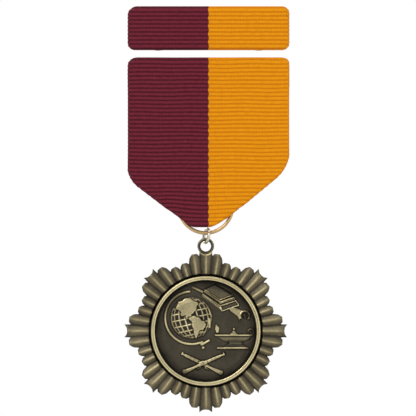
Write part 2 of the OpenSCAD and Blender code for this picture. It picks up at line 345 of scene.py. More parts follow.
def grow(source, tree, name, **values):
    """Runs a geometry tree on source and keeps the result as a plain mesh."""
    modifier = source.modifiers.new(name, "NODES")
    modifier.node_group = tree.tree
    for item in tree.tree.interface.items_tree:
        label = item.name.replace(" ", "_")
        if item.in_out == "INPUT" and label in values:
            modifier[item.identifier] = values[label]
    return bake(source, name)


def bake(source, name):
    """A plain mesh of what source's modifiers make; source is removed."""
    view = bpy.context.evaluated_depsgraph_get()
    mesh = bpy.data.meshes.new_from_object(source.evaluated_get(view), depsgraph=view)
    mesh.name = name
    result = link(name, mesh)
    old = source.data
    bpy.data.objects.remove(source)
    bpy.data.meshes.remove(old)
    return result


# ---------- finishes ----------

def new_material(name, **sockets):
    """A material with its shader, whose plain sockets are set by label."""
    material = bpy.data.materials.new(name)
    material.use_nodes = True
    material.node_tree.nodes.clear()
    tree = Tree(material.node_tree)
    shader = tree.add("ShaderNodeBsdfPrincipled",
                      {label.replace("_", " "): value for label, value in sockets.items()})
    tree.add("ShaderNodeOutputMaterial", {"Surface": shader})
    return material, tree, shader


def woven_ribbon(name):
    """Ribbed ribbon, one colour on each side of its middle, each painted darker between the ribs
    as shade.
    """
    look = bpy.context.scene.medal_ribbon
    material, tree, shader = new_material(
        name, Roughness=0.8, Sheen_Weight=0.05, Sheen_Roughness=0.5, Specular_IOR_Level=0.12)
    times, plus = tree.times, tree.plus
    place = tree.add("ShaderNodeSeparateXYZ", {0: tree.add("ShaderNodeUVMap", uv_map="cloth")})
    across, along = (times(tree.math("SUBTRACT", place.outputs[i], 0.5), CLOTH_SPAN)
                     for i in (0, 1))

    def clouds(fine_across, fine_along):
        """Noise with so many cells to the millimetre across and along the ribbon."""
        return tree.noise(tree.add("ShaderNodeCombineXYZ", {
            0: times(across, fine_across), 1: times(along, fine_along)}), 1.0)

    # Painted shade: along this wave each colour darkens from the rib tops down into the valleys
    # between them; the clouds and threads below are the cloth's own uneven tone
    wave = tree.math("SINE", times(along, math.pi / look.rib_pitch))
    rib = tree.math("POWER", tree.math("ABSOLUTE", wave), 0.8)
    step = times(wave, look.colour_step)
    edge = plus(tree.math("DIVIDE", plus(across, step), 0.08), 0.5, clamp=True)
    streaks, threads, blotch = clouds(5.0, 0.5), clouds(9.0, 4.0), clouds(0.9, 2.2)
    warp = plus(times(tree.math("SINE", times(across, 2 * math.pi / look.thread_pitch)), 0.5), 0.5)
    share = times(rib, plus(times(blotch, 0.95), 0.5))
    share = times(share, plus(times(streaks, 0.6), 0.68))
    share = times(share, plus(times(warp, 0.3), 0.8), clamp=True)
    # The low colours are the ribbon's colours painted darker as shade in the valleys
    left = tree.mix(share, (*look.maroon_low, 1), (*look.maroon, 1))
    right = tree.mix(share, (*look.gold_low, 1), (*look.gold, 1))
    tree.set(shader.inputs["Base Color"], tree.mix(edge, left, right))
    tree.bump(shader, plus(times(warp, 0.5), threads), 0.6, 0.00004)
    return material


def aged_brass(name):
    """Darkened brass, rubbed bright where its wear attribute is high; that attribute also holds
    painted shade and painted highlights.

    aged_plain is the same without the attribute, worn here and there.
    """
    look = bpy.context.scene.medal_metal
    material, tree, shader = new_material(name, Metallic=0.92)
    where = tree.add("ShaderNodeTexCoord").outputs["Object"]
    cloud, grain = tree.noise(where, 420.0, 4), tree.noise(where, 3200.0, 2)
    if name == "aged_plain":
        wear_and_shading = tree.times(cloud, 0.75)
    else:
        wear_and_shading = tree.add("ShaderNodeAttribute", attribute_name="wear_and_shading").outputs["Fac"]
    drift = tree.times(tree.math("SUBTRACT", cloud, 0.5), 0.17)
    speck = tree.times(tree.math("SUBTRACT", grain, 0.5), 0.22)
    level = tree.plus(tree.plus(wear_and_shading, drift), speck, clamp=True)
    tree.paint(shader, level, (0.0, (0.014, 0.012, 0.009)), (0.35, look.patina),
               (0.7, (0.31, 0.26, 0.14)), (1.0, look.rubbed_and_highlight))
    tree.set(shader.inputs["Roughness"], tree.math("SUBTRACT", 0.56, tree.times(level, 0.26)))
    tree.bump(shader, grain, 0.35, 0.00003)
    return material


EVENLY = (1.0, 1.0, 1.0)
BRIGHT_METALS = {  # light and dark colour, roughness, and how the fine marks are scaled
    "ring_wire": ((0.66, 0.45, 0.22), (0.46, 0.29, 0.13), 0.34, EVENLY),
    "pale_wire": ((0.72, 0.66, 0.50), (0.50, 0.44, 0.31), 0.28, EVENLY),
    "brooch_sheet": ((0.80, 0.62, 0.30), (0.58, 0.42, 0.18), 0.3, (0.08, 1.0, 1.0)),
    "clutch_sheet": ((0.86, 0.70, 0.36), (0.64, 0.48, 0.20), 0.25, EVENLY),
    "pin_wire": ((0.72, 0.73, 0.75), (0.48, 0.49, 0.51), 0.22, (1.0, 0.1, 1.0)),
}


def bright_metal(name):
    """Clean metal with faint clouds and fine drawn or brushed marks."""
    light, dark, rough, scales = BRIGHT_METALS[name]
    material, tree, shader = new_material(name, Metallic=1.0)
    where = tree.add("ShaderNodeTexCoord").outputs["Object"]
    marks = tree.noise(tree.add("ShaderNodeMapping", {"Vector": where, "Scale": scales}),
                       2800.0, 4)
    cloud = tree.noise(where, 350.0)
    blend = tree.plus(tree.times(marks, 0.5), tree.times(cloud, 0.7), clamp=True)
    tree.paint(shader, blend, (0.25, dark), (0.75, light))
    tree.set(shader.inputs["Roughness"], tree.plus(rough - 0.06, tree.times(marks, 0.16)))
    tree.bump(shader, marks, 0.2, 0.00002)
    return material


def sewing_thread(name):
    """Twisted dark red thread."""
    material, tree, shader = new_material(name, Roughness=0.8, Sheen_Weight=0.3)
    where = tree.add("ShaderNodeTexCoord").outputs["Object"]
    twist = tree.add("ShaderNodeTexWave", {"Vector": where, "Scale": 900.0, "Distortion": 1.5},
                     bands_direction="DIAGONAL").outputs[1]
    tree.paint(shader, twist, (0.0, (0.05, 0.008, 0.014)), (1.0, (0.16, 0.03, 0.05)))
    tree.bump(shader, twist, 0.5, 0.00003)
    return material


def pale_floor(name):
    """A matt pale floor."""
    material, tree, shader = new_material(name, Roughness=0.9)
    where = tree.add("ShaderNodeTexCoord").outputs["Object"]
    tree.paint(shader, tree.noise(where, 30.0, 2), (0.0, (0.83, 0.83, 0.83)),
               (1.0, (0.87, 0.87, 0.87)))
    return material


MAKERS = {"woven_ribbon": woven_ribbon, "aged_brass": aged_brass, "aged_plain": aged_brass,
          "sewing_thread": sewing_thread, "pale_floor": pale_floor}


def kept(finish):
    """The material of that name, made the first time it is asked for."""
    return bpy.data.materials.get(finish) or MAKERS.get(finish, bright_metal)(finish)


def paint_node(node, finish):
    """Gives a carried-over CAD node a finish."""
    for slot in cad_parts[node].material_slots:
        slot.material = kept(finish)


def settle(obj, body, slot, finish, *nodes):
    """Paints a finished piece, sets it on its body and hides the CAD nodes it stands for."""
    obj.data.materials.clear()
    obj.data.materials.append(kept(finish))
    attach(obj, body)
    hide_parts(*nodes)
    return obj


# ---------- ribbons ----------

def nearest(points, outline):
    """Each point's nearest point on a convex clockwise outline, and its distance outside."""
    start, end = outline, np.roll(outline, -1, 0)
    keep = np.linalg.norm(end - start, axis=1) > 1e-9
    start, end = start[keep], end[keep]
    best = np.full(len(points), np.inf)
    spot = np.zeros_like(points)
    inside = np.ones(len(points), bool)
    for a, b in zip(start, end):
        edge = b - a
        share = np.clip((points - a) @ edge / (edge @ edge), 0, 1)
        there = a + share[:, None] * edge
        gap = np.linalg.norm(points - there, axis=1)
        closer = gap < best
        best[closer], spot[closer] = gap[closer], there[closer]
        inside &= edge[0] * (points[:, 1] - a[1]) - edge[1] * (points[:, 0] - a[0]) <= 0
    return spot, np.where(inside, 0.0, best)


def rolled_over(points, outline, radius):
    """Folds what lies outside an outline back behind it, round an edge of that radius.

    radius is a function of the nearest point on the outline. Returns the new places,
    their depth behind the layer and which points have gone right round.
    """
    spot, out = nearest(points, outline)
    r = radius(spot)
    away = (points - spot) / np.maximum(out, 1e-9)[:, None]
    rolling = out < np.pi * r
    reach = np.where(rolling, r * np.sin(out / r), np.pi * r - out)
    depth = np.where(rolling, r * (1 - np.cos(out / r)), 2 * r)
    flat = out <= 0
    reach[flat], depth[flat] = 0, 0
    places = spot * (out > 0)[:, None] + points * flat[:, None] + away * reach[:, None]
    return places, depth, ~rolling


def cloth_shell(places, faces, thickness):
    """Two skins either side of a cloth's middle, and walls round its edges."""
    count = len(places)
    normals = np.zeros_like(places)
    corner = places[faces]
    face_normal = np.cross(corner[:, 2] - corner[:, 0], corner[:, 3] - corner[:, 1])
    for k in range(4):
        np.add.at(normals, faces[:, k], face_normal)
    normals /= np.maximum(np.linalg.norm(normals, axis=1), 1e-12)[:, None]
    rim = open_edges(faces, count)
    walls = np.stack([rim[:, 1], rim[:, 0], rim[:, 0] + count, rim[:, 1] + count], -1)
    skins = np.concatenate([places + normals * thickness / 2, places - normals * thickness / 2])
    return skins, np.concatenate([faces, faces[:, ::-1] + count, walls])


def only_used(points, faces, *others):
    """Drops the points that no face uses."""
    used = np.zeros(len(points), bool)
    used[faces.ravel()] = True
    number = np.cumsum(used) - 1
    return points[used], number[faces], *(other[used] for other in others)


def rib_nodes():
    """Ribs across a ribbon: lifts its skin along its own normal by a rounded wave."""
    tree, start, end = new_nodes("Woven ribs", Rib_pitch=0.00087, Rib_height=0.0001,
                                 Material=None)
    along = tree.add("GeometryNodeInputNamedAttribute", {"Name": "along"}).outputs[0]
    ribbed = tree.add("GeometryNodeInputNamedAttribute", {"Name": "ribbed"}).outputs[0]
    turn = tree.times(tree.math("DIVIDE", along, start.outputs["Rib pitch"]), math.pi)
    wave = tree.math("POWER", tree.math("ABSOLUTE", tree.math("SINE", turn)), 0.6)
    lift = tree.times(tree.times(wave, start.outputs["Rib height"]), ribbed)
    push = tree.add("ShaderNodeVectorMath", {0: tree.add("GeometryNodeInputNormal")},
                    operation="SCALE")
    tree.set(push.inputs["Scale"], lift)
    moved = tree.add("GeometryNodeSetPosition", {"Geometry": start.outputs["Geometry"],
                                                 "Offset": push.outputs[0]})
    finish_nodes(tree, start, end, moved)
    return tree


def weave(name, across, along, places, faces):
    """A finished ribbon from its folded middle surface."""
    look = bpy.context.scene.medal_ribbon
    places, faces, across, along = only_used(places, faces, across, along)
    skins, all_faces = cloth_shell(places, faces, look.cloth_thickness)
    cloth = np.stack([across, along], -1) / CLOTH_SPAN + 0.5
    source = make(name + "_plain", skins, all_faces, {
        "along": np.tile(along, 2) * MM,
        "ribbed": np.repeat([1.0, 0.3], len(places)),
    }, cloth=np.tile(cloth, (2, 1)))
    ribbon = grow(source, rib_nodes(), name, Rib_pitch=look.rib_pitch * MM,
                  Rib_height=look.rib_height * MM, Material=kept("woven_ribbon"))
    shade(ribbon.data, None)
    return ribbon


def ribbon_grid(low, high):
    """Points of the flat strip: across its width, and along it in sixths of a rib."""
    look = bpy.context.scene.medal_ribbon
    step = look.rib_pitch / 6
    rows = np.arange(math.ceil(low / step), math.floor(high / step) + 1) * step
    even = np.linspace(-1, 1, look.columns)
    closer_at_sides = 0.7 * even + 0.3 * np.sin(even * math.pi / 2)
    across, along = np.meshgrid(SIDE * closer_at_sides, rows)
    return across.ravel(), along.ravel(), grid_faces(len(rows), look.columns)


def drape_ribbon():
    """The drape: over the core at its top, through the ring at its point, ends behind."""
    top, tip = DRAPE_HIGH[2], DRAPE_LOW[2]
    tip_left, tip_right = -3.77, 2.35
    left_shoulder, right_shoulder = top - 26.5, top - 24.36
    bend = FOLD_R * math.pi / 2
    bend_z = tip + FOLD_R + CLOTH_HALF
    inner_top = top - FOLD_R - CLOTH_HALF
    join_z = 0.3  # where the two ends meet behind the core

    def along_at(z):
        return z - bend_z + bend

    across, along, faces = ribbon_grid(
        -along_at(-join_z), along_at(inner_top) + math.pi * FOLD_R + inner_top - join_z)
    # The fold lines: the slopes run on past the point, a little inside the outer edge
    inset, past_tip = 0.33, 0.08  # past_tip as a share of the slope's length
    left = np.array([tip_left + SIDE, tip - left_shoulder])
    right = np.array([tip_right - SIDE, tip - right_shoulder])
    left_in = np.array([-left[1], left[0]]) / np.linalg.norm(left) * inset
    right_in = np.array([right[1], -right[0]]) / np.linalg.norm(right) * inset
    low_left = np.array([tip_left, tip]) + left_in + left * past_tip
    knee = np.array([4.5, tip + 2.175]) + right_in
    full, curled, shoulder_x = SIDE + 0.01, SIDE - CURL, SIDE - 0.24
    narrowed = SIDE - shoulder_x
    left_at = left_shoulder + narrowed * left[1] / left[0] + inset * 1.1
    right_at = right_shoulder + narrowed * right[1] / right[0] + inset * 1.1
    fullest, right_fade, left_fade = -6, -11, -13  # heights between which the sides are full
    corners = [
        ((-curled, inner_top), 1.55), ((curled, inner_top), 1.0), ((full, fullest), 20),
        ((full, right_fade), 20), ((shoulder_x, right_at), 8.2), (knee, 2),
        ((-0.9, tip - FOLD_R), 0.2), (low_left, 0.2), ((-shoulder_x, left_at), 5.7),
        ((-full, left_fade), 20), ((-full, fullest), 20)]
    outline = rounded([corner for corner, _ in corners], [r for _, r in corners])
    outline[:, 1] = along_at(outline[:, 1])
    near_ring, on_slopes = 0.1, 0.2  # how tightly the folds are pressed

    def radius(spot):
        """Tightest by the ring, tight on the slopes and down the sides, full at the top."""
        z = spot[:, 1] + bend_z - bend
        from_ring = np.hypot(spot[:, 0] - RING_AT[0], z - RING_AT[2])
        slope = near_ring + (on_slopes - near_ring) * ease((from_ring - 7.2) / 1.5)
        return slope + (FOLD_R - slope) * ease((z + 12) / 8)

    flat, depth, behind = rolled_over(np.stack([across, np.abs(along)], -1), outline, radius)
    turn = np.clip(flat[:, 1] / FOLD_R, -0.2, math.pi / 2)
    out = FOLD_R - depth
    curved = flat[:, 1] < bend
    reach = np.where(curved, out * np.sin(turn), out)
    z = np.where(curved, bend_z - out * np.cos(turn), bend_z + flat[:, 1] - bend)
    places = np.stack([flat[:, 0], LAYER_Y - np.where(along >= 0, 1, -1) * reach, z], -1)
    # The ribs bow a little over the point, and none is quite straight
    along = along + 0.4 * np.exp(-((z - tip - 3) / 3.5) ** 2) * np.clip(
        1 - (across / 6.5) ** 2, -0.6, 1)
    along += 0.07 * np.sin(0.4 * across + 0.2 * z) * np.cos(0.15 * across - 0.3 * z)
    # Behind the fold, the cloth leaves the ring room to turn
    room = np.hypot(places[:, 0] - RING_AT[0], places[:, 2] - RING_AT[2]) < 6.6
    faces = faces[~(behind & room)[faces].all(axis=1)]
    # A soft fall: the lower half of the front bows a little towards the viewer
    hang = ease((inner_top - z) / 30) * (1 - ease((inner_top - 18 - z) / 14))
    places[:, 1] -= 0.12 * hang
    return weave("drape_ribbon", across, along, places, faces)


def bar_ribbon():
    """The ribbon bar's ribbon: over the top and under the bottom, ends meeting behind."""
    low, high = cad("bar_ribbon_maroon")
    centre_z = (low[2] + high[2]) / 2
    half = (high[2] - low[2]) / 2 - FOLD_R - CLOTH_HALF
    reach = 2 * half + math.pi * FOLD_R - 0.3
    across, along, faces = ribbon_grid(-reach, reach)
    edge = SIDE - CURL
    outline = rounded([[-edge, half], [edge, half], [edge, -half], [-edge, -half]],
                      [1.45, 0.95, 0.95, 0.95])
    flat, depth, _ = rolled_over(np.stack([across, along], -1), outline,
                                 lambda spot: np.full(len(spot), FOLD_R))
    places = np.stack([flat[:, 0], LAYER_Y - FOLD_R + depth, flat[:, 1] + centre_z], -1)
    return weave("bar_ribbon", across, along, places, faces)


# ---------- brooches and clutches ----------

def back_plate(name, node):
    """A stamped plate with rolled edges, a pressed border and raised seats for the pins."""
    low, high = cad(node)
    centre, half = (low + high) / 2, (high - low) / 2
    rings = []
    for inset, y in ((0.25, low[1]), (0.08, low[1] + 0.05), (0, low[1] + 0.2), (0, -0.22),
                     (0.07, -0.06), (0.25, 0.0), (0.75, 0.0), (0.9, -0.12), (1.2, -0.14),
                     (1.35, -0.02), (1.6, 0.0)):
        w, h = half[0] - inset, half[2] - inset
        r = max(1.5 - inset, 0.25)
        outline = rounded([[-w, h], [w, h], [w, -h], [-w, -h]], [r] * 4, steps=8)
        rings.append(np.stack([outline[:, 0] + centre[0], np.full(len(outline), y),
                               outline[:, 1] + centre[2]], -1))
    sides = len(rings[0])
    faces = grid_faces(len(rings), sides, False, True).tolist()
    last = (len(rings) - 1) * sides
    faces += [list(range(sides)), [last + k for k in range(sides)]]
    shape = Shape().add(np.array(rings), faces)
    for sign in (-1, 1):
        place = (centre[0] + sign * 11.0, 0, centre[2])
        seat = [(1.35, -0.3), (2.3, -0.3), (2.3, -0.02), (2.05, 0.0), (1.75, 0.0),
                (1.5, 0.0), (1.38, -0.05)]
        shape.add(*turned(seat, place, 48))
    return shape.make(name, 35)


def clutch_cup(name, centre, seat):
    """A turned sheet cup with a rolled rim and two windows for the wings."""
    wall, height, fillet = 0.3, 1.8, 0.35
    outer = 4.7 - wall / 2
    near, far = seat + wall / 2, seat + height - wall / 2
    bend = np.radians(np.linspace(0, 90, 5))
    profile = [(0.75, near), (1.6, near), (2.4, near), (3.4, near)]
    profile += [(outer - fillet + fillet * math.sin(a), near + fillet - fillet * math.cos(a))
                for a in bend]
    profile += [(outer, (near + far) / 2 - 0.2), (outer, (near + far) / 2 + 0.2)]
    profile += [(outer - fillet + fillet * math.cos(a), far - fillet + fillet * math.sin(a))
                for a in bend]
    window, window_end = len(profile) + 1, len(profile) + 5
    profile += [(4.15, far), (3.95, far), (3.4, far), (2.9, far), (2.45, far), (2.0, far),
                (1.6, far - 0.02), (1.3, far - 0.12), (0.75, far - 0.14)]
    steps = 96
    points, _ = turned(profile, centre, steps)
    faces = grid_faces(steps, len(profile), True, False)
    step, part = np.divmod(np.arange(len(faces)), len(profile) - 1)
    angle = (step + 0.5) / steps * 360 % 180
    half_window = 46  # degrees
    open_here = ((np.minimum(angle, 180 - angle) < half_window)
                 & (part >= window) & (part < window_end))
    sheet = make(name + "_sheet", points.reshape(-1, 3), faces[~open_here], sharp=35)
    solid = sheet.modifiers.new("solidify", "SOLIDIFY")
    solid.thickness, solid.offset, solid.use_even_offset = wall * MM, 0, True
    bevel = sheet.modifiers.new("bevel", "BEVEL")
    bevel.width, bevel.segments = 0.05 * MM, 2
    bevel.limit_method, bevel.angle_limit = "ANGLE", math.radians(50)
    cup = bake(sheet, name)
    shade(cup.data, 35)
    return cup


def clutch_wing(name, centre, pivot_y, upper):
    """A bent spring ear with a pressed rib and a flared, rounded end."""
    half_w, pivot_z, tilt, length, thick = 2.3, 2.9, math.radians(15), 4.2, 0.28
    bend, rows, cols = 0.45, 34, 21
    along = np.linspace(0, 1, rows)
    foot = pivot_z - 0.8
    total = foot + length
    s = along * total
    turn = (math.pi / 2 - tilt) * ease((s - foot + bend) / (2 * bend))
    step = total / (rows - 1)
    z = 0.8 + np.concatenate([[0], np.cumsum(np.cos((turn[1:] + turn[:-1]) / 2) * step)])
    y = pivot_y + np.concatenate([[0], np.cumsum(np.sin((turn[1:] + turn[:-1]) / 2) * step)])
    flare = 0.35 * ease((s - foot - 0.6 * length) / (0.4 * length)) ** 2
    z, y = z + flare, y + bend * 0.1
    rest = np.clip(total - s, 0, half_w)
    width = np.sqrt(np.maximum(half_w ** 2 - (half_w - rest) ** 2, 0.0025))
    share = np.linspace(-1, 1, cols)
    x = np.outer(width, share)
    rib = 0.22 * np.outer(ease((s - foot - 0.5) / 0.6) * ease((total - 1.0 - s) / 0.8),
                          np.ones(cols)) * np.exp(-(x / 0.42) ** 2)
    points = np.concatenate([
        np.stack([x, y[:, None] + lift * np.cos(turn)[:, None],
                  z[:, None] - lift * np.sin(turn)[:, None]], -1).reshape(-1, 3)
        for lift in (rib + thick / 2, rib - thick / 2)])
    points[:, 2] *= 1 if upper else -1
    points += [centre[0], 0, centre[2]]
    return Shape().add(points, two_skins(rows, cols)).make(name, 50)


# ---------- rings ----------

def jump_ring(name):
    """An open ring of round wire whose ends butt together."""
    yaw, lean, radius, thick = math.radians(20), math.radians(10), 1.5, 0.32
    angle = np.radians(np.linspace(-118, 238, 90))
    flat = np.stack([radius * np.cos(angle), radius * np.sin(angle), 0 * angle], -1)
    points, faces = wire(flat, thick, sides=24, plane=(0, 0, 1))
    turn = Matrix.Rotation(lean, 3, "Y") @ Matrix.Rotation(yaw, 3, "Z") @ Matrix.Rotation(
        math.pi / 2, 3, "Y")
    return Shape().add(points.reshape(-1, 3) @ np.array(turn).T + middle("jump_ring"),
                       faces).make(name)


def suspension_ring(name):
    low, high = cad("suspension_ring")
    thick = (high[1] - low[1]) / 2
    radius = (high[0] - low[0]) / 2 - thick
    return Shape().add(*wire(arc(RING_AT, radius, 0, 358.0, 180), thick, closed=True)).make(name)


# ---------- star ----------

# Half a group of rays from the middle of a long ray: degrees and radius of the outer edge
RAY_EDGE = [
    (0, 17.1), (2.2, 17.2), (3.6, 17.5), (4.5, 17.75), (5.0, 16.3), (6.5, 16.85),
    (10.4, 16.9), (12.9, 16.1), (14.2, 14.95), (15.6, 15.35), (19.6, 15.45), (21.4, 15.0),
    (22.5, 14.4)]
RAYS = ((0.0, 4.75), (9.4, 4.65), (18.45, 4.4))  # middle and half width in degrees
CREST, VALLEY = 2.13, 1.45  # heights over the star's back


def ray_heights(angle, radius, edge):
    """Height and wear of the rays at an angle in degrees and a radius; the wear also holds painted
    highlights and painted shade.
    """
    angle = np.abs(angle)
    centre, half = np.zeros_like(angle), np.zeros_like(angle)
    for middle_at, width in RAYS:
        here = np.abs(angle - middle_at) <= width + 0.35
        centre[here], half[here] = middle_at, width
    across = radius * np.radians(angle - centre)
    reach = radius * np.radians(half)
    slope = np.clip(np.abs(across) / np.maximum(reach, 0.2), 0, 1)
    soft = np.sqrt(slope ** 2 + 0.01) - math.sqrt(0.01)
    height = CREST - (CREST - VALLEY) * soft / (math.sqrt(1.01) - math.sqrt(0.01))
    bevel = np.clip((radius - edge + 0.3) / 0.3, 0, 1)
    height -= 0.22 * bevel ** 1.8 * (0.35 + 0.65 * (1 - slope))
    # Painted shade: the groove by the medallion's ring is sunk, and its wear is painted almost
    # black below
    shade_line = ease((12.42 - radius) / 0.3)
    height -= (height - 0.85) * shade_line * 0.9
    tip = ease((radius - edge + 1.6) / 1.6)
    # The bright line along each crest is partly rubbed brass and partly a painted highlight; the
    # darkening towards the valleys is painted shade
    crest = np.exp(-(across / 0.22) ** 2)
    wear_and_shading = 0.39 + 0.28 * crest * (1 - 0.7 * tip) + 0.1 * (1 - slope) ** 1.3
    wear_and_shading -= 0.14 * ease((slope - 0.74) / 0.26) + 0.05 * tip
    wear_and_shading *= 1 - 0.95 * shade_line
    return height, np.clip(wear_and_shading, 0.02, 1)


def ray_group(steps=120, rings=26):
    """One eighth of the star about its own centre: a closed profile swept over 45 degrees."""
    angle = np.linspace(-22.5, 22.5, steps + 1)
    known = np.array(RAY_EDGE)
    edge = np.interp(np.abs(angle), known[:, 0], known[:, 1])
    inner = 11.95
    # Radius and height over the back; a radius of 0 or less counts from the outer edge
    back = [(1.25, 0), (6.0, 0), (11.0, 0), (-1.6, 0), (-0.35, 0), (-0.1, 0.06), (0, 0.25)]
    floor = [(inner - 0.02, 1.06), (6.0, 1.06), (1.25, 1.06)]
    columns, wear_and_shading_columns = [], []
    for r, h in back:
        radius = edge + r if r <= 0 else np.full_like(edge, r)
        columns.append((radius, np.full_like(edge, h)))
        wear_and_shading_columns.append(np.full_like(edge, 0.42 if h == 0 else 0.3))
    for s in np.linspace(1, 0, rings):
        radius = inner + (edge - inner) * s
        height, wear_and_shading = ray_heights(angle, radius, edge)
        columns.append((radius, height))
        wear_and_shading_columns.append(wear_and_shading)
    for r, h in floor:
        columns.append((np.full_like(edge, r), np.full_like(edge, h)))
        wear_and_shading_columns.append(np.zeros_like(edge))
    turn = np.radians(angle)
    points = np.stack([np.stack([r * np.sin(turn), -h, r * np.cos(turn)], -1)
                       for r, h in columns], 1)
    return points, grid_faces(steps + 1, len(columns), False, True), np.stack(wear_and_shading_columns, 1)


def ray_ring_nodes():
    """Sets copies of a group of rays round a centre, and joins their edges."""
    tree, start, end = new_nodes("Ring of rays", Groups=8, Centre=(0.0, 0.0, 0.0),
                                 Weld=0.00001, Material=None)
    points = tree.add("GeometryNodePoints", {"Count": start.outputs["Groups"],
                                             "Position": start.outputs["Centre"]})
    turn = tree.times(tree.add("GeometryNodeInputIndex"),
                      tree.math("DIVIDE", 2 * math.pi, start.outputs["Groups"]))
    copies = tree.add("GeometryNodeInstanceOnPoints", {
        "Points": points, "Instance": start.outputs["Geometry"],
        "Rotation": tree.add("ShaderNodeCombineXYZ", {1: turn})})
    plain = tree.add("GeometryNodeRealizeInstances", {"Geometry": copies})
    joined = tree.add("GeometryNodeMergeByDistance",
                      {"Geometry": plain, "Distance": start.outputs["Weld"]})
    finish_nodes(tree, start, end, joined)
    return tree


def star(name):
    """The cast star: a ring of rays and the eye it hangs by."""
    points, faces, wear_and_shading = ray_group()
    source = make("ray_group", points.reshape(-1, 3), faces, {"wear_and_shading": wear_and_shading.ravel()})
    rays = grow(source, ray_ring_nodes(), "rays", Groups=8, Material=kept("aged_brass"),
                Centre=(STAR_AT[0] * MM, STAR_BACK * MM, STAR_AT[2] * MM))
    eye_up, eye_r, eye_wire, hollow_r = 18.45, 1.485, 0.33, 1.78
    eye_at = (STAR_AT[0], LAYER_Y, STAR_AT[2] + eye_up)
    loop, loop_faces = wire(arc(eye_at, eye_r, 0, 352.5, 48), eye_wire, closed=True)
    # Painted light on the eye: its inner and back side stay dark as painted shade, and its outer
    # side, most of all at the front, is painted bright as a highlight
    front = ease((LAYER_Y - 0.05 - loop[..., 1]) / 0.35)
    out = np.hypot(loop[..., 0] - eye_at[0], loop[..., 2] - eye_at[2]) - eye_r
    outer = ease((out + 0.2) / 0.4)
    eye = Shape().add(loop, loop_faces, 0.1 + 0.42 * front * outer + 0.16 * outer).make("eye")
    # The top ray is the neck: cut off in a hollow round the eye, with a rubbed brim
    wear_and_shading = rays.data.attributes["wear_and_shading"].data
    for vertex in rays.data.vertices:
        x, up = vertex.co.x / MM - STAR_AT[0], vertex.co.z / MM - STAR_AT[2]
        if abs(x) < 1.6 and up > 16:
            limit = eye_up - math.sqrt(max(hollow_r ** 2 - x * x, 0.4))
            if up > limit - 0.3 and vertex.co.y / MM < STAR_BACK - 1:
                wear_and_shading[vertex.index].value = 0.85
            if up > limit:
                vertex.co.z = (STAR_AT[2] + limit + 0.01 * (up - limit)) * MM
    whole = bmesh.new()
    for part in (rays, eye):
        whole.from_mesh(part.data)
        bpy.data.objects.remove(part)
    bmesh.ops.recalc_face_normals(whole, faces=whole.faces)
    mesh = bpy.data.meshes.new(name)
    whole.to_mesh(mesh)
    whole.free()
    shade(mesh, 48)
    return link(name, mesh)


# ---------- medallion ----------

FIELD_Y, FIELD_WEAR = -2.6, 0.29
GLOBE_AT, GLOBE_R = (-3.15, 2.85), 4.55
STAND_AT = (-3.1, 2.88)


class Relief:
    """Heights and wear over the field, raised device by device; the wear also holds a painted
    shadow round the devices. Places are in millimetres from the medal's middle, to the right and
    up."""

    def __init__(self, x, z):
        self.x, self.z = x, z
        self.height = np.zeros_like(x)
        self.wear_and_shading = np.full_like(x, FIELD_WEAR)
        self.near = np.full_like(x, 9.0)

    def lift(self, distance, top, wear_and_shading=0.92, bevel=0.16, shade_line=True):
        """Raises what lies inside a distance field, with a bevelled edge; unless its last flag is
        off, the device also gets the painted shadow band round it on the field.
        """
        share = ease(0.5 - distance / bevel)
        self.height = np.maximum(self.height, top * share)
        self.wear_and_shading = self.wear_and_shading * (1 - share) + wear_and_shading * share
        self.near = np.minimum(self.near, distance) if shade_line else self.near

    def disc(self, at, r):
        return np.hypot(self.x - at[0], self.z - at[1]) - r

    def bar(self, a, b, w, w_end=None):
        """Distance to a straight bar with round ends, w wide, or tapering to w_end."""
        a, b = np.array(a, float), np.array(b, float)
        run = b - a
        share = np.clip(((self.x - a[0]) * run[0] + (self.z - a[1]) * run[1]) / (run @ run), 0, 1)
        gap = np.hypot(self.x - a[0] - share * run[0], self.z - a[1] - share * run[1])
        return gap - (w + ((w if w_end is None else w_end) - w) * share) / 2

    def path(self, corners, w):
        return np.minimum.reduce([self.bar(a, b, w) for a, b in zip(corners, corners[1:])])

    def hoop(self, at, r, w, start, end):
        """Distance to an arc of a hoop, from start to end in degrees towards +Z."""
        angle = np.degrees(np.arctan2(self.z - at[1], self.x - at[0]))
        along = (angle - start) % 360
        on = along <= end - start
        ends = [np.hypot(self.x - at[0] - r * math.cos(math.radians(t)),
                         self.z - at[1] - r * math.sin(math.radians(t))) for t in (start, end)]
        gap = np.abs(np.hypot(self.x - at[0], self.z - at[1]) - r)
        return np.where(on, gap, np.minimum(*ends)) - w / 2

    def patch(self, corners):
        """Signed distance to a polygon, negative inside."""
        corners = np.asarray(corners, float)
        best = np.full_like(self.x, np.inf)
        inside = np.zeros(self.x.shape, bool)
        for a, b in zip(corners, np.roll(corners, -1, 0)):
            best = np.minimum(best, self.bar(a, b, 0))
            crosses = (a[1] > self.z) != (b[1] > self.z)
            rise = b[1] - a[1] if abs(b[1] - a[1]) > 1e-9 else 1e-9
            at_x = a[0] + (self.z - a[1]) * (b[0] - a[0]) / rise
            inside ^= crosses & (self.x < at_x)
        return np.where(inside, -best, best)


NORTH_LAND = [
    (-6.4, 4.9), (-5.8, 6.2), (-4.9, 6.7), (-3.8, 7.05), (-3.0, 6.75), (-1.8, 5.9),
    (-2.2, 4.8), (-2.7, 4.1), (-3.3, 3.6), (-2.9, 3.2), (-3.3, 2.6), (-4.2, 2.8),
    (-4.4, 3.5), (-5.2, 3.4), (-5.4, 4.2), (-5.9, 4.6)]
SOUTH_LAND = [
    (-3.4, 3.0), (-2.5, 3.2), (-1.4, 2.7), (-0.5, 2.1), (0.0, 1.5), (-0.3, 0.7),
    (-1.1, 0.3), (-1.7, -0.4), (-2.0, -1.5), (-2.4, -0.8), (-2.8, 1.2), (-2.8, 2.1),
    (-3.6, 2.5)]


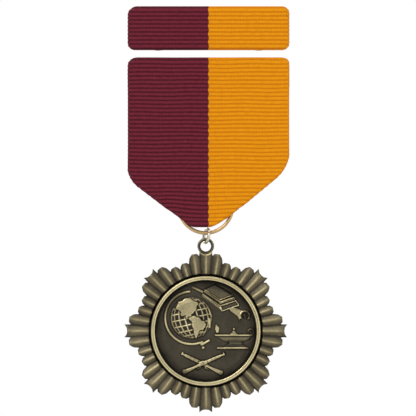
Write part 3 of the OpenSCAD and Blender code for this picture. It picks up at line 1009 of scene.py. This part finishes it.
def globe(field):
    """A ball crossed by a lattice, with flat lands on it, in a bent stand."""
    x, z = field.x - GLOBE_AT[0], field.z - GLOBE_AT[1]
    out = np.hypot(x, z) / GLOBE_R
    deep = np.sqrt(np.maximum(1 - out ** 2, 0))
    tilt, step = math.radians(12), math.radians(17.5)
    across = (x * math.cos(tilt) + z * math.sin(tilt)) / GLOBE_R
    up = (z * math.cos(tilt) - x * math.sin(tilt)) / GLOBE_R
    line = np.full_like(x, 9.0)
    for value, squeeze in ((np.arcsin(np.clip(up, -1, 1)), np.sqrt(np.maximum(1 - up ** 2, 0.05))),
                           (np.arctan2(across, deep), np.maximum(deep, 0.25))):
        part = np.abs((value / step + 0.5) % 1 - 0.5) * step * GLOBE_R * squeeze
        line = np.minimum(line, part)
    ball = field.disc(GLOBE_AT, GLOBE_R)
    field.height = np.maximum(field.height, 0.22 * ease(-ball / 1.6))
    field.wear_and_shading = np.where(ball < 0, 0.12, field.wear_and_shading)
    grid = np.maximum(line - 0.13, ball + 0.12)
    base = field.height.copy()
    share = ease(0.5 - grid / 0.16)
    field.height = base + 0.2 * share
    field.wear_and_shading = field.wear_and_shading * (1 - share) + 0.86 * share * (0.6 + 0.4 * deep) + 0.1 * share
    for land in (NORTH_LAND, SOUTH_LAND):
        coast = np.sin(3.3 * field.x + 1.9 * field.z) * np.sin(2.9 * field.z - 1.4 * field.x)
        shape = field.patch(land) - 0.08 + 0.16 * coast
        share = ease(0.5 - shape / 0.16)
        field.height = np.maximum(field.height, (base + 0.36) * share)
        field.wear_and_shading = field.wear_and_shading * (1 - share) + 0.8 * share
        edge = np.exp(-((shape + 0.12) / 0.12) ** 2)
        field.wear_and_shading = np.maximum(field.wear_and_shading, 0.96 * edge)
        # Painted shade: a dark line just outside each land's coast
        dark = np.exp(-((shape - 0.16) / 0.1) ** 2)
        field.wear_and_shading *= 1 - 0.85 * dark
    field.near = np.minimum(field.near, ball)
    for a, b, w in (((0.62, 4.8), (1.2, 3.2), 0.3), ((0.75, 2.6), (0.85, 0.9), 0.5)):
        field.lift(field.bar(a, b, w), 0.42)
    field.lift(field.hoop((-0.85, -0.55), 0.5, 0.2, -60, 170), 0.35, wear_and_shading=0.75)
    field.lift(field.hoop(STAND_AT, 5.72, 0.52, 94, 292), 0.5, bevel=0.4)
    field.lift(field.bar((-0.92, -2.98), (0.7, -2.08), 0.5), 0.5, bevel=0.3)
    field.lift(field.disc((-0.83, -2.66), 0.5), 0.62, bevel=0.4)
    field.lift(field.disc((-0.56, -3.61), 0.33), 0.5, bevel=0.3)


def books_and_spanner(field):
    """Two closed books in a pile, over a spanner."""
    neck = [(4.6, 5.4), (5.9, 5.2), (7.6, 4.6), (8.3, 4.25), (7.5, 2.6), (7.25, 2.25),
            (6.9, 3.2), (5.4, 4.3)]
    pile = [(-0.75, 8.05), (-0.38, 9.05), (1.97, 10.2), (5.75, 8.0), (7.35, 5.55), (3.5, 4.2),
            (3.0, 5.0)]
    cover = [(-0.15, 9.0), (1.97, 10.05), (5.5, 7.95), (3.2, 6.95)]
    edges = (  # corners, width and height
        ([(-0.38, 9.05), (3.1, 6.8), (5.75, 7.85)], 0.24, 0.66),
        ([(-0.25, 8.6), (3.15, 6.3), (6.15, 7.3)], 0.26, 0.56),
        ([(3.1, 6.05), (6.3, 7.0)], 0.18, 0.5),
        ([(-0.7, 8.05), (3.1, 5.45), (6.5, 6.55)], 0.22, 0.5),
        ([(-0.62, 7.75), (3.25, 4.75)], 0.42, 0.44),
        ([(3.2, 5.3), (3.5, 4.35), (7.2, 5.6), (6.6, 6.6)], 0.24, 0.46))
    jaw = (8.5, 3.35)
    field.lift(field.bar((-2.9, 9.57), (-0.3, 8.35), 0.55), 0.4, wear_and_shading=0.75, bevel=0.3)
    field.lift(field.patch(neck), 0.42, wear_and_shading=0.8, bevel=0.3)
    field.lift(field.hoop(jaw, 1.0, 0.32, -50, 215), 0.55, bevel=0.25)
    hollow = ease(0.5 - field.disc(jaw, 0.78) / 0.2)
    field.height *= 1 - hollow
    field.wear_and_shading *= 1 - 0.9 * hollow
    field.lift(field.bar((8.25, 3.7), (8.6, 2.85), 0.16), 0.25, wear_and_shading=0.7, shade_line=False)
    field.lift(field.patch(pile), 0.3, wear_and_shading=0.05)
    field.lift(field.patch(cover), 0.6, wear_and_shading=0.42, shade_line=False)
    for corners, w, top in edges:
        field.lift(field.path(corners, w), top, wear_and_shading=0.93, bevel=0.14, shade_line=False)
    first, last = np.array([3.3, 5.15]), np.array([3.4, 4.6])
    for share in (0.25, 0.5, 0.75):
        leaf = first + (last - first) * share
        field.lift(field.bar(leaf + [0.35, 0.12], leaf + [3.3, 1.1], 0.07), 0.4, wear_and_shading=0.6,
                   bevel=0.1, shade_line=False)


def lamp(field):
    """A footed oil lamp with a flame, a lid and a curled handle."""
    foot = [(4.9, -2.3), (8.0, -2.3), (7.75, -2.75), (8.6, -3.2), (9.0, -3.75), (3.6, -3.75),
            (4.2, -3.2), (5.1, -2.75)]
    bowl = [(2.2, -1.0), (10.0, -1.0), (9.75, -1.5), (9.15, -1.95), (8.2, -2.3), (7.0, -2.5),
            (5.4, -2.5), (4.3, -2.3), (3.4, -1.95), (2.75, -1.5)]
    lid = [(4.7, -0.9), (5.6, -0.45), (5.9, 0.15), (6.3, 0.15), (6.6, -0.45), (7.5, -0.9)]
    flame = [(2.3, -0.4), (1.98, 0.45), (2.15, 1.55), (2.6, 1.1), (2.95, 0.75), (2.9, 0.2),
             (2.75, -0.4)]
    field.lift(field.patch(foot), 0.34, wear_and_shading=0.27, bevel=0.3)
    field.lift(field.patch(bowl), 0.5, wear_and_shading=0.44, bevel=0.6, shade_line=False)
    for up, start, end, top, wear_and_shading, bevel in ((-1.62, 3.6, 8.9, 0.54, 0.62, 0.3),
                                             (-2.72, 5.2, 7.7, 0.44, 0.58, 0.2)):
        field.lift(field.bar((start, up), (end, up), 0.14), top, wear_and_shading, bevel, shade_line=False)
    for up, start, end in ((-0.88, 2.1, 9.9), (-3.72, 2.6, 9.2)):
        field.lift(field.bar((start, up), (end, up), 0.36), 0.6)
    field.lift(field.patch(lid), 0.48, wear_and_shading=0.74, bevel=0.25)
    field.lift(field.disc((6.12, 0.45), 0.24), 0.55)
    field.lift(field.hoop((9.8, -0.2), 0.66, 0.28, -85, 165), 0.55, bevel=0.2)
    field.lift(field.patch(flame), 0.46, wear_and_shading=0.9, bevel=0.25)


def long_arm(field, muzzle, butt, top):
    """A plain long arm: barrel, stock with its guard, and butt."""
    muzzle, butt = np.array(muzzle, float), np.array(butt, float)
    run = butt - muzzle
    side = np.array([-run[1], run[0]]) / np.linalg.norm(run)
    if side[1] < 0:
        side = -side

    def at(share, off=0.0):
        return muzzle + run * share + side * off

    parts = [
        (at(0), at(0.2), 0.36, 0.42), (at(0.1), at(0.56), 0.58, 0.72),
        (at(0.56), at(0.72, -0.05), 0.7, 0.46), (at(0.72, -0.05), at(0.97, -0.1), 0.5, 0.95),
        (at(0, -0.12), at(0, 0.3), 0.36, 0.36), (at(0.48, 0.38), at(0.58, 0.38), 0.28, 0.28),
        (at(0.6, -0.6), at(0.68, -0.6), 0.2, 0.2), (at(0.6, -0.2), at(0.6, -0.6), 0.2, 0.2),
        (at(0.98, -0.5), at(0.98, 0.34), 0.3, 0.3)]
    around = np.minimum.reduce([field.bar(*part) for part in parts])
    # Painted shadow: a dark band on the field round the arm
    field.wear_and_shading *= 1 - 0.85 * np.exp(-((around - 0.16) / 0.12) ** 2)
    for part in parts:
        field.lift(field.bar(*part), top, wear_and_shading=0.86, bevel=0.22)
    for share in (0.2, 0.3, 0.4, 0.5):
        mark = field.bar(at(share, -0.26), at(share, 0.26), 0.1)
        field.wear_and_shading *= 1 - 0.5 * ease(0.5 - mark / 0.16)
    for a, b in ((at(0.1, -0.08), at(0.56, -0.1)), (at(0.78, -0.1), at(0.95, -0.12))):
        field.wear_and_shading *= 1 - 0.3 * ease(0.5 - field.bar(a, b, 0.06) / 0.16)


def medallion(name):
    """The struck disc: a sunk field with its devices, inside a raised ring."""
    reach, step, under = 11.3, 0.1, -1.7  # half width, grid step, and Y of the underside
    line = np.arange(-reach, reach + step / 2, step)
    x, z = np.meshgrid(line, line)
    field = Relief(x, z)
    globe(field)
    books_and_spanner(field)
    lamp(field)
    long_arm(field, (-5.16, -4.96), (3.59, -9.12), 0.36)
    long_arm(field, (3.95, -5.05), (-4.98, -8.93), 0.5)
    out = np.hypot(x, z)
    shadow = ease(1 - np.maximum(field.near, 0) / 0.34) * (field.near > 0.04)
    field.wear_and_shading *= 1 - 0.9 * shadow
    # Painted shade: the field darkens towards the raised ring and is almost black at its foot
    field.wear_and_shading *= 1 - 0.55 * ease((out - 9.0) / 1.3)
    field.wear_and_shading *= 1 - 0.97 * ease((out - 10.3) / 0.3)
    # Struck unevenness, so that the plain field isn't dead flat
    field.wear_and_shading += 0.045 * np.sin(x * 0.62 + 0.4 * z) * np.cos(z * 0.55 - 0.3 * x + 0.8)
    field.height += 0.02 * np.sin(x * 0.9 + 1.3) * np.cos(z * 0.8) * (field.near > 0.5)
    faces = grid_faces(len(line), len(line))
    faces = faces[out.ravel()[faces].mean(axis=1) < reach - step]
    places = np.stack([x, FIELD_Y - field.height, z], -1).reshape(-1, 3)
    places, faces, wear_and_shading = only_used(places, faces, field.wear_and_shading.ravel())
    rim = open_edges(faces, len(places))
    numbers, where = np.unique(rim, return_inverse=True)
    where = where.reshape(rim.shape)
    low = places[numbers].copy()
    low[:, 1] = under
    first, hub = len(places), len(places) + len(numbers)
    all_faces = faces.tolist()
    all_faces += [[b, a, first + wa, first + wb] for (a, b), (wa, wb) in zip(rim, where)]
    all_faces += [[first + wb, first + wa, hub] for wa, wb in where]
    centre = np.array([STAR_AT[0], 0, STAR_AT[2]])
    shape = Shape().add(np.concatenate([places, low, [[0, under, 0]]]) + centre, all_faces,
                        np.concatenate([wear_and_shading, np.zeros(len(numbers) + 1)]))
    # The ring's section: radius, Y and wear, the dark wear on its side walls being painted shade
    outline = [(12.0, under, 0), (12.0, -2.75, 0), (11.97, -3.05, 0.1), (11.87, -3.25, 0.7),
               (11.73, -3.35, 0.95), (11.58, -3.34, 0.95), (11.5, -3.31, 0.72),
               (11.42, -3.31, 0.72), (11.34, -3.34, 0.95), (11.19, -3.35, 0.95),
               (11.08, -3.25, 0.55), (11.02, -3.1, 0.02), (10.9, -2.75, 0), (10.8, -2.4, 0),
               (10.8, under, 0)]
    steps = 192
    points, ring_faces = turned([p[:2] for p in outline], centre, steps)
    shape.add(points, ring_faces, np.tile([p[2] for p in outline], steps))
    return shape.make(name, 60)


# ---------- stitches ----------

def stitch_row_nodes():
    """A row of thread loops at an even pitch."""
    tree, start, end = new_nodes("Row of stitches", Stitches=6, Pitch=(0.00045, 0.0, 0.0),
                                 Start=(0.0, 0.0, 0.0), Material=None)
    row = tree.add("GeometryNodeMeshLine", {"Count": start.outputs["Stitches"],
                                            "Start Location": start.outputs["Start"],
                                            "Offset": start.outputs["Pitch"]})
    loops = tree.add("GeometryNodeInstanceOnPoints", {"Points": row,
                                                      "Instance": start.outputs["Geometry"]})
    finish_nodes(tree, start, end, loops)
    return tree


def tack_stitches(name):
    """A bar tack through the packet just under the ring's top, showing only at the back."""
    low, high = cad("tack_stitches")
    centre_z, front = (low[2] + high[2]) / 2, low[1]
    back = high[1] - 0.12
    path = [(0, front, 0.12)] + [(0, y, 0.16) for y in np.linspace(front + 0.15, back - 0.2, 6)]
    path += [(0.0, back, 0.1), (0.05, back + 0.06, -0.05), (0.1, back, -0.22)]
    path += [(0.12, y, -0.28) for y in np.linspace(back - 0.2, front + 0.15, 6)]
    points, faces = wire(path, 0.11, sides=8, plane=(1, 0, 0))
    source = Shape().add(points, faces).make("thread_loop")
    stitches = bpy.context.scene.medal_ribbon.stitches
    pitch = (high[0] - low[0] - 0.5) / (stitches - 1)
    return grow(source, stitch_row_nodes(), name, Stitches=stitches,
                Pitch=(pitch * MM, 0.0, 0.0), Material=kept("sewing_thread"),
                Start=((low[0] + 0.2) * MM, 0.0, centre_z * MM))


# ---------- settings ----------

class RibbonLook(bpy.types.PropertyGroup):
    """Sizes in millimetres and colours of the ribbons."""

    rib_pitch: FloatProperty(name="Rib pitch", default=0.87, min=0.4, max=2,
                             description="Distance from rib to rib along the ribbon, mm")
    rib_height: FloatProperty(name="Rib height", default=0.1, min=0, max=0.3,
                              description="Height of a rib over the valley beside it, mm")
    thread_pitch: FloatProperty(name="Thread pitch", default=0.32, min=0.1, max=1,
                                description="Distance between the fine threads across, mm")
    cloth_thickness: FloatProperty(name="Thickness", default=0.3, min=0.1, max=0.45,
                                   description="Thickness of the ribbon between its ribs, mm")
    colour_step: FloatProperty(name="Colour step", default=0.09, min=0, max=0.4,
                               description="How far the colours interlock at the middle, mm")
    columns: IntProperty(name="Columns", default=95, min=21, max=201,
                         description="Points across the ribbon")
    stitches: IntProperty(name="Stitches", default=9, min=3, max=20,
                          description="Threads in the tack that holds the ring")
    maroon: FloatVectorProperty(name="Maroon", subtype="COLOR", default=(0.160, 0.015, 0.030),
                                description="Left colour, on the ribs")
    # The maroon between the ribs is the rib maroon painted darker, as shade in the valleys
    maroon_low: FloatVectorProperty(name="Maroon, low", subtype="COLOR",
                                    default=(0.026, 0.001, 0.004),
                                    description="Left colour, between the ribs")
    gold: FloatVectorProperty(name="Gold", subtype="COLOR", default=(0.75, 0.285, 0.0),
                              description="Right colour, on the ribs")
    # The gold between the ribs is the rib gold painted darker, as shade in the valleys
    gold_low: FloatVectorProperty(name="Gold, low", subtype="COLOR",
                                  default=(0.48, 0.135, 0.0),
                                  description="Right colour, between the ribs")


class MetalLook(bpy.types.PropertyGroup):
    """Colours of the aged brass."""

    patina: FloatVectorProperty(name="Patina", subtype="COLOR", default=(0.082, 0.070, 0.049),
                                description="Colour of the darkened brass")
    # The bright end of the brass: rubbed brass, also used for the painted highlights
    rubbed_and_highlight: FloatVectorProperty(name="Rubbed", subtype="COLOR", default=(0.80, 0.70, 0.40),
                                description="Colour of the crests, where the brass is rubbed")


class StageLook(bpy.types.PropertyGroup):
    """Light and camera."""

    key_power: FloatProperty(name="Key light", default=4.4, min=0, description="Power",
                             subtype="POWER", unit="POWER")
    fill_power: FloatProperty(name="Fill light", default=2.0, min=0, description="Power",
                              subtype="POWER", unit="POWER")
    distance: FloatProperty(name="Distance", default=0.9, min=0.3, unit="LENGTH",
                            description="From the camera to the medal")
    view_width: FloatProperty(name="View width", default=0.09055, min=0.05, unit="LENGTH",
                              description="Width that the camera sees at the medal")


# ---------- operators ----------

def settings(*owners):
    """Stops an operator before it starts if its settings aren't registered."""
    for owner in owners:
        if not hasattr(bpy.context.scene, owner):
            raise RuntimeError(f"{owner} isn't registered")


class MEDAL_OT_stage(bpy.types.Operator):
    """Makes the floor, the soft lights, the sky and the camera"""
    bl_idname = "medal.stage"
    bl_label = "Stage"

    def execute(self, context):
        settings("medal_stage")
        look = context.scene.medal_stage
        scene = context.scene
        low, high = CAD_BOX
        floor_z, near, far, wide = low[2] - 0.02, -1.2, 0.31, 1.0
        outline = rounded([[-wide, far], [wide, far], [wide, near], [-wide, near]], [0.1] * 4)
        points = [(p[0] / MM, p[1] / MM, floor_z / MM) for p in outline]
        floor = make("floor", points, [range(len(points))])
        floor.data.materials.append(kept("pale_floor"))
        if floor.data.polygons[0].normal[2] < 0:
            floor.data.flip_normals()
        centre = Vector(((low[0] + high[0]) / 2, 0, (low[2] + high[2]) / 2))
        for name, place, power, width, height in (
                ("key", (-0.45, -0.75, 0.55), look.key_power, 0.55, 0.4),
                ("fill", (0.7, -0.6, 0.1), look.fill_power, 0.5, 0.6),
                ("top", (0.1, -0.15, 0.8), look.fill_power * 1.1, 0.8, 0.2),
                ("behind", (-0.5, 0.8, 0.4), look.key_power * 0.7, 0.6, 0.5),
                ("behind_side", (0.7, 0.6, 0.2), look.fill_power * 0.8, 0.4, 0.6)):
            lamp_data = bpy.data.lights.new(name, "AREA")
            lamp_data.shape, lamp_data.size, lamp_data.size_y = "RECTANGLE", width, height
            lamp_data.energy = power
            light = link(name, lamp_data)
            light.location = place
            light.rotation_euler = (centre - light.location).to_track_quat("-Z", "Y").to_euler()
        self.sky(scene)
        camera_data = bpy.data.cameras.new("camera")
        camera = link("camera", camera_data)
        camera_data.lens = camera_data.sensor_width * look.distance / look.view_width
        camera_data.clip_start, camera_data.clip_end = 0.05, 20
        aim_x, aim_z = -0.109 * MM, -28.03 * MM
        camera.location = (aim_x, -look.distance + LAYER_Y * MM, aim_z)
        camera.rotation_euler = (math.pi / 2, 0, 0)
        scene.camera = camera
        scene.view_settings.view_transform = "Standard"
        return {"FINISHED"}

    def sky(self, scene):
        """White to look at; as light, bright above and dim below."""
        world = bpy.data.worlds.new("studio")
        scene.world = world
        world.use_nodes = True
        world.node_tree.nodes.clear()
        tree = Tree(world.node_tree)
        up = tree.add("ShaderNodeSeparateXYZ", {0: tree.add(
            "ShaderNodeTexCoord").outputs["Generated"]}).outputs[2]
        share = tree.plus(tree.times(up, 0.5), 0.5)
        light = tree.add("ShaderNodeBackground", {
            "Color": tree.ramp(share, (0.0, (0.30, 0.30, 0.30)), (0.45, (0.42, 0.42, 0.42)),
                               (1.0, (0.75, 0.75, 0.75))), "Strength": 0.75})
        white = tree.add("ShaderNodeBackground", {"Color": (1, 1, 1, 1), "Strength": 1.0})
        mixed = tree.add("ShaderNodeMixShader", {
            0: tree.add("ShaderNodeLightPath").outputs["Is Camera Ray"], 1: light, 2: white})
        tree.add("ShaderNodeOutputWorld", {"Surface": mixed})


class MEDAL_OT_drape_ribbon(bpy.types.Operator):
    """Folds the drape's ribbon over its core and through the ring"""
    bl_idname = "medal.drape_ribbon"
    bl_label = "Drape ribbon"

    def execute(self, context):
        settings("medal_ribbon")
        ribbon = settle(drape_ribbon(), "drape", "ribbon_maroon", "woven_ribbon",
                        "drape_ribbon_maroon", "drape_ribbon_gold")
        return {"FINISHED"}


class MEDAL_OT_bar_ribbon(bpy.types.Operator):
    """Folds the ribbon bar's ribbon round its core"""
    bl_idname = "medal.bar_ribbon"
    bl_label = "Bar ribbon"

    def execute(self, context):
        settings("medal_ribbon")
        ribbon = settle(bar_ribbon(), "ribbon_bar", "ribbon_maroon", "woven_ribbon",
                        "bar_ribbon_maroon", "bar_ribbon_gold")
        return {"FINISHED"}


class MEDAL_OT_brooches(bpy.types.Operator):
    """Makes the two back plates and finishes the cores and pins"""
    bl_idname = "medal.brooches"
    bl_label = "Brooches"

    def execute(self, context):
        for name, node, body in (("drape_plate", "drape_back_plate", "drape"),
                                 ("bar_plate", "bar_back_plate", "ribbon_bar")):
            settle(back_plate(name, node), body, "brooch_brass", "brooch_sheet", node)
        for node in ("drape_core", "bar_core"):
            paint_node(node, "brooch_sheet")
        for node in PIN_NODES:
            paint_node(node, "pin_wire")
        return {"FINISHED"}


class MEDAL_OT_clutches(bpy.types.Operator):
    """Makes the four clutches, each a cup and two spring wings"""
    bl_idname = "medal.clutches"
    bl_label = "Clutches"

    def execute(self, context):
        for pin in PIN_NODES:
            prefix = pin.replace("_pin", "")
            centre = middle(pin) * [1, 0, 1]
            cup_node = prefix + "_cup"
            seat = cad(cup_node)[0][1]
            settle(clutch_cup(cup_node + "_turned", centre, seat), cup_node, "clutch_brass",
                   "clutch_sheet", cup_node)
            for part, upper in (("_upper_wing", True), ("_lower_wing", False)):
                node = prefix + part
                settle(clutch_wing(node + "_bent", centre, seat + 0.95, upper), node,
                       "clutch_brass", "clutch_sheet", node)
        return {"FINISHED"}


class MEDAL_OT_rings(bpy.types.Operator):
    """Makes the suspension ring and the jump ring"""
    bl_idname = "medal.rings"
    bl_label = "Rings"

    def execute(self, context):
        settle(suspension_ring("suspension_ring_wire"), "suspension_ring", "ring_brass",
               "ring_wire", "suspension_ring")
        settle(jump_ring("jump_ring_wire"), "jump_ring", "jump_ring_brass", "pale_wire",
               "jump_ring")
        return {"FINISHED"}


class MEDAL_OT_star(bpy.types.Operator):
    """Casts the star with its eye"""
    bl_idname = "medal.star"
    bl_label = "Star"

    def execute(self, context):
        settings("medal_metal")
        settle(star("rayed_star"), "medal", "antique_brass", "aged_brass", "star")
        return {"FINISHED"}


class MEDAL_OT_medallion(bpy.types.Operator):
    """Strikes the medallion and finishes the rivet behind it"""
    bl_idname = "medal.medallion"
    bl_label = "Medallion"

    def execute(self, context):
        settings("medal_metal")
        settle(medallion("struck_medallion"), "medal", "antique_brass", "aged_brass",
               "medallion")
        paint_node("medallion_rivet", "aged_plain")
        return {"FINISHED"}


class MEDAL_OT_stitches(bpy.types.Operator):
    """Sews the tack that keeps the ring up in the fold"""
    bl_idname = "medal.stitches"
    bl_label = "Stitches"

    def execute(self, context):
        settings("medal_ribbon")
        settle(tack_stitches("bar_tack"), "drape", "sewing_thread", "sewing_thread",
               "tack_stitches")
        return {"FINISHED"}


OPERATORS = (
    MEDAL_OT_stage, MEDAL_OT_rings, MEDAL_OT_drape_ribbon, MEDAL_OT_bar_ribbon,
    MEDAL_OT_brooches, MEDAL_OT_clutches, MEDAL_OT_star, MEDAL_OT_medallion,
    MEDAL_OT_stitches)


class MEDAL_PT_panel(bpy.types.Panel):
    """Lists the steps that build the medal"""
    bl_idname = "MEDAL_PT_panel"
    bl_label = "Service medal"
    bl_space_type = "VIEW_3D"
    bl_region_type = "UI"
    bl_category = "Medal"

    def draw(self, context):
        for step in OPERATORS:
            self.layout.operator(step.bl_idname)
        for owner in ("medal_ribbon", "medal_metal", "medal_stage"):
            box = self.layout.box()
            look = getattr(context.scene, owner)
            for name in look.bl_rna.properties.keys():
                if name not in ("rna_type", "name"):
                    box.prop(look, name)


GROUPS = {"medal_ribbon": RibbonLook, "medal_metal": MetalLook, "medal_stage": StageLook}


def register():
    for kind in (*GROUPS.values(), *OPERATORS, MEDAL_PT_panel):
        bpy.utils.register_class(kind)
    for owner, kind in GROUPS.items():
        setattr(bpy.types.Scene, owner, PointerProperty(type=kind))


def unregister():
    for owner in GROUPS:
        delattr(bpy.types.Scene, owner)
    for kind in (MEDAL_PT_panel, *reversed(OPERATORS), *reversed(tuple(GROUPS.values()))):
        bpy.utils.unregister_class(kind)


def main():
    """Builds everything in order."""
    register()
    for step in OPERATORS:
        group, call = step.bl_idname.split(".")
        getattr(getattr(bpy.ops, group), call)()


if __name__ == "__main__":
    main()
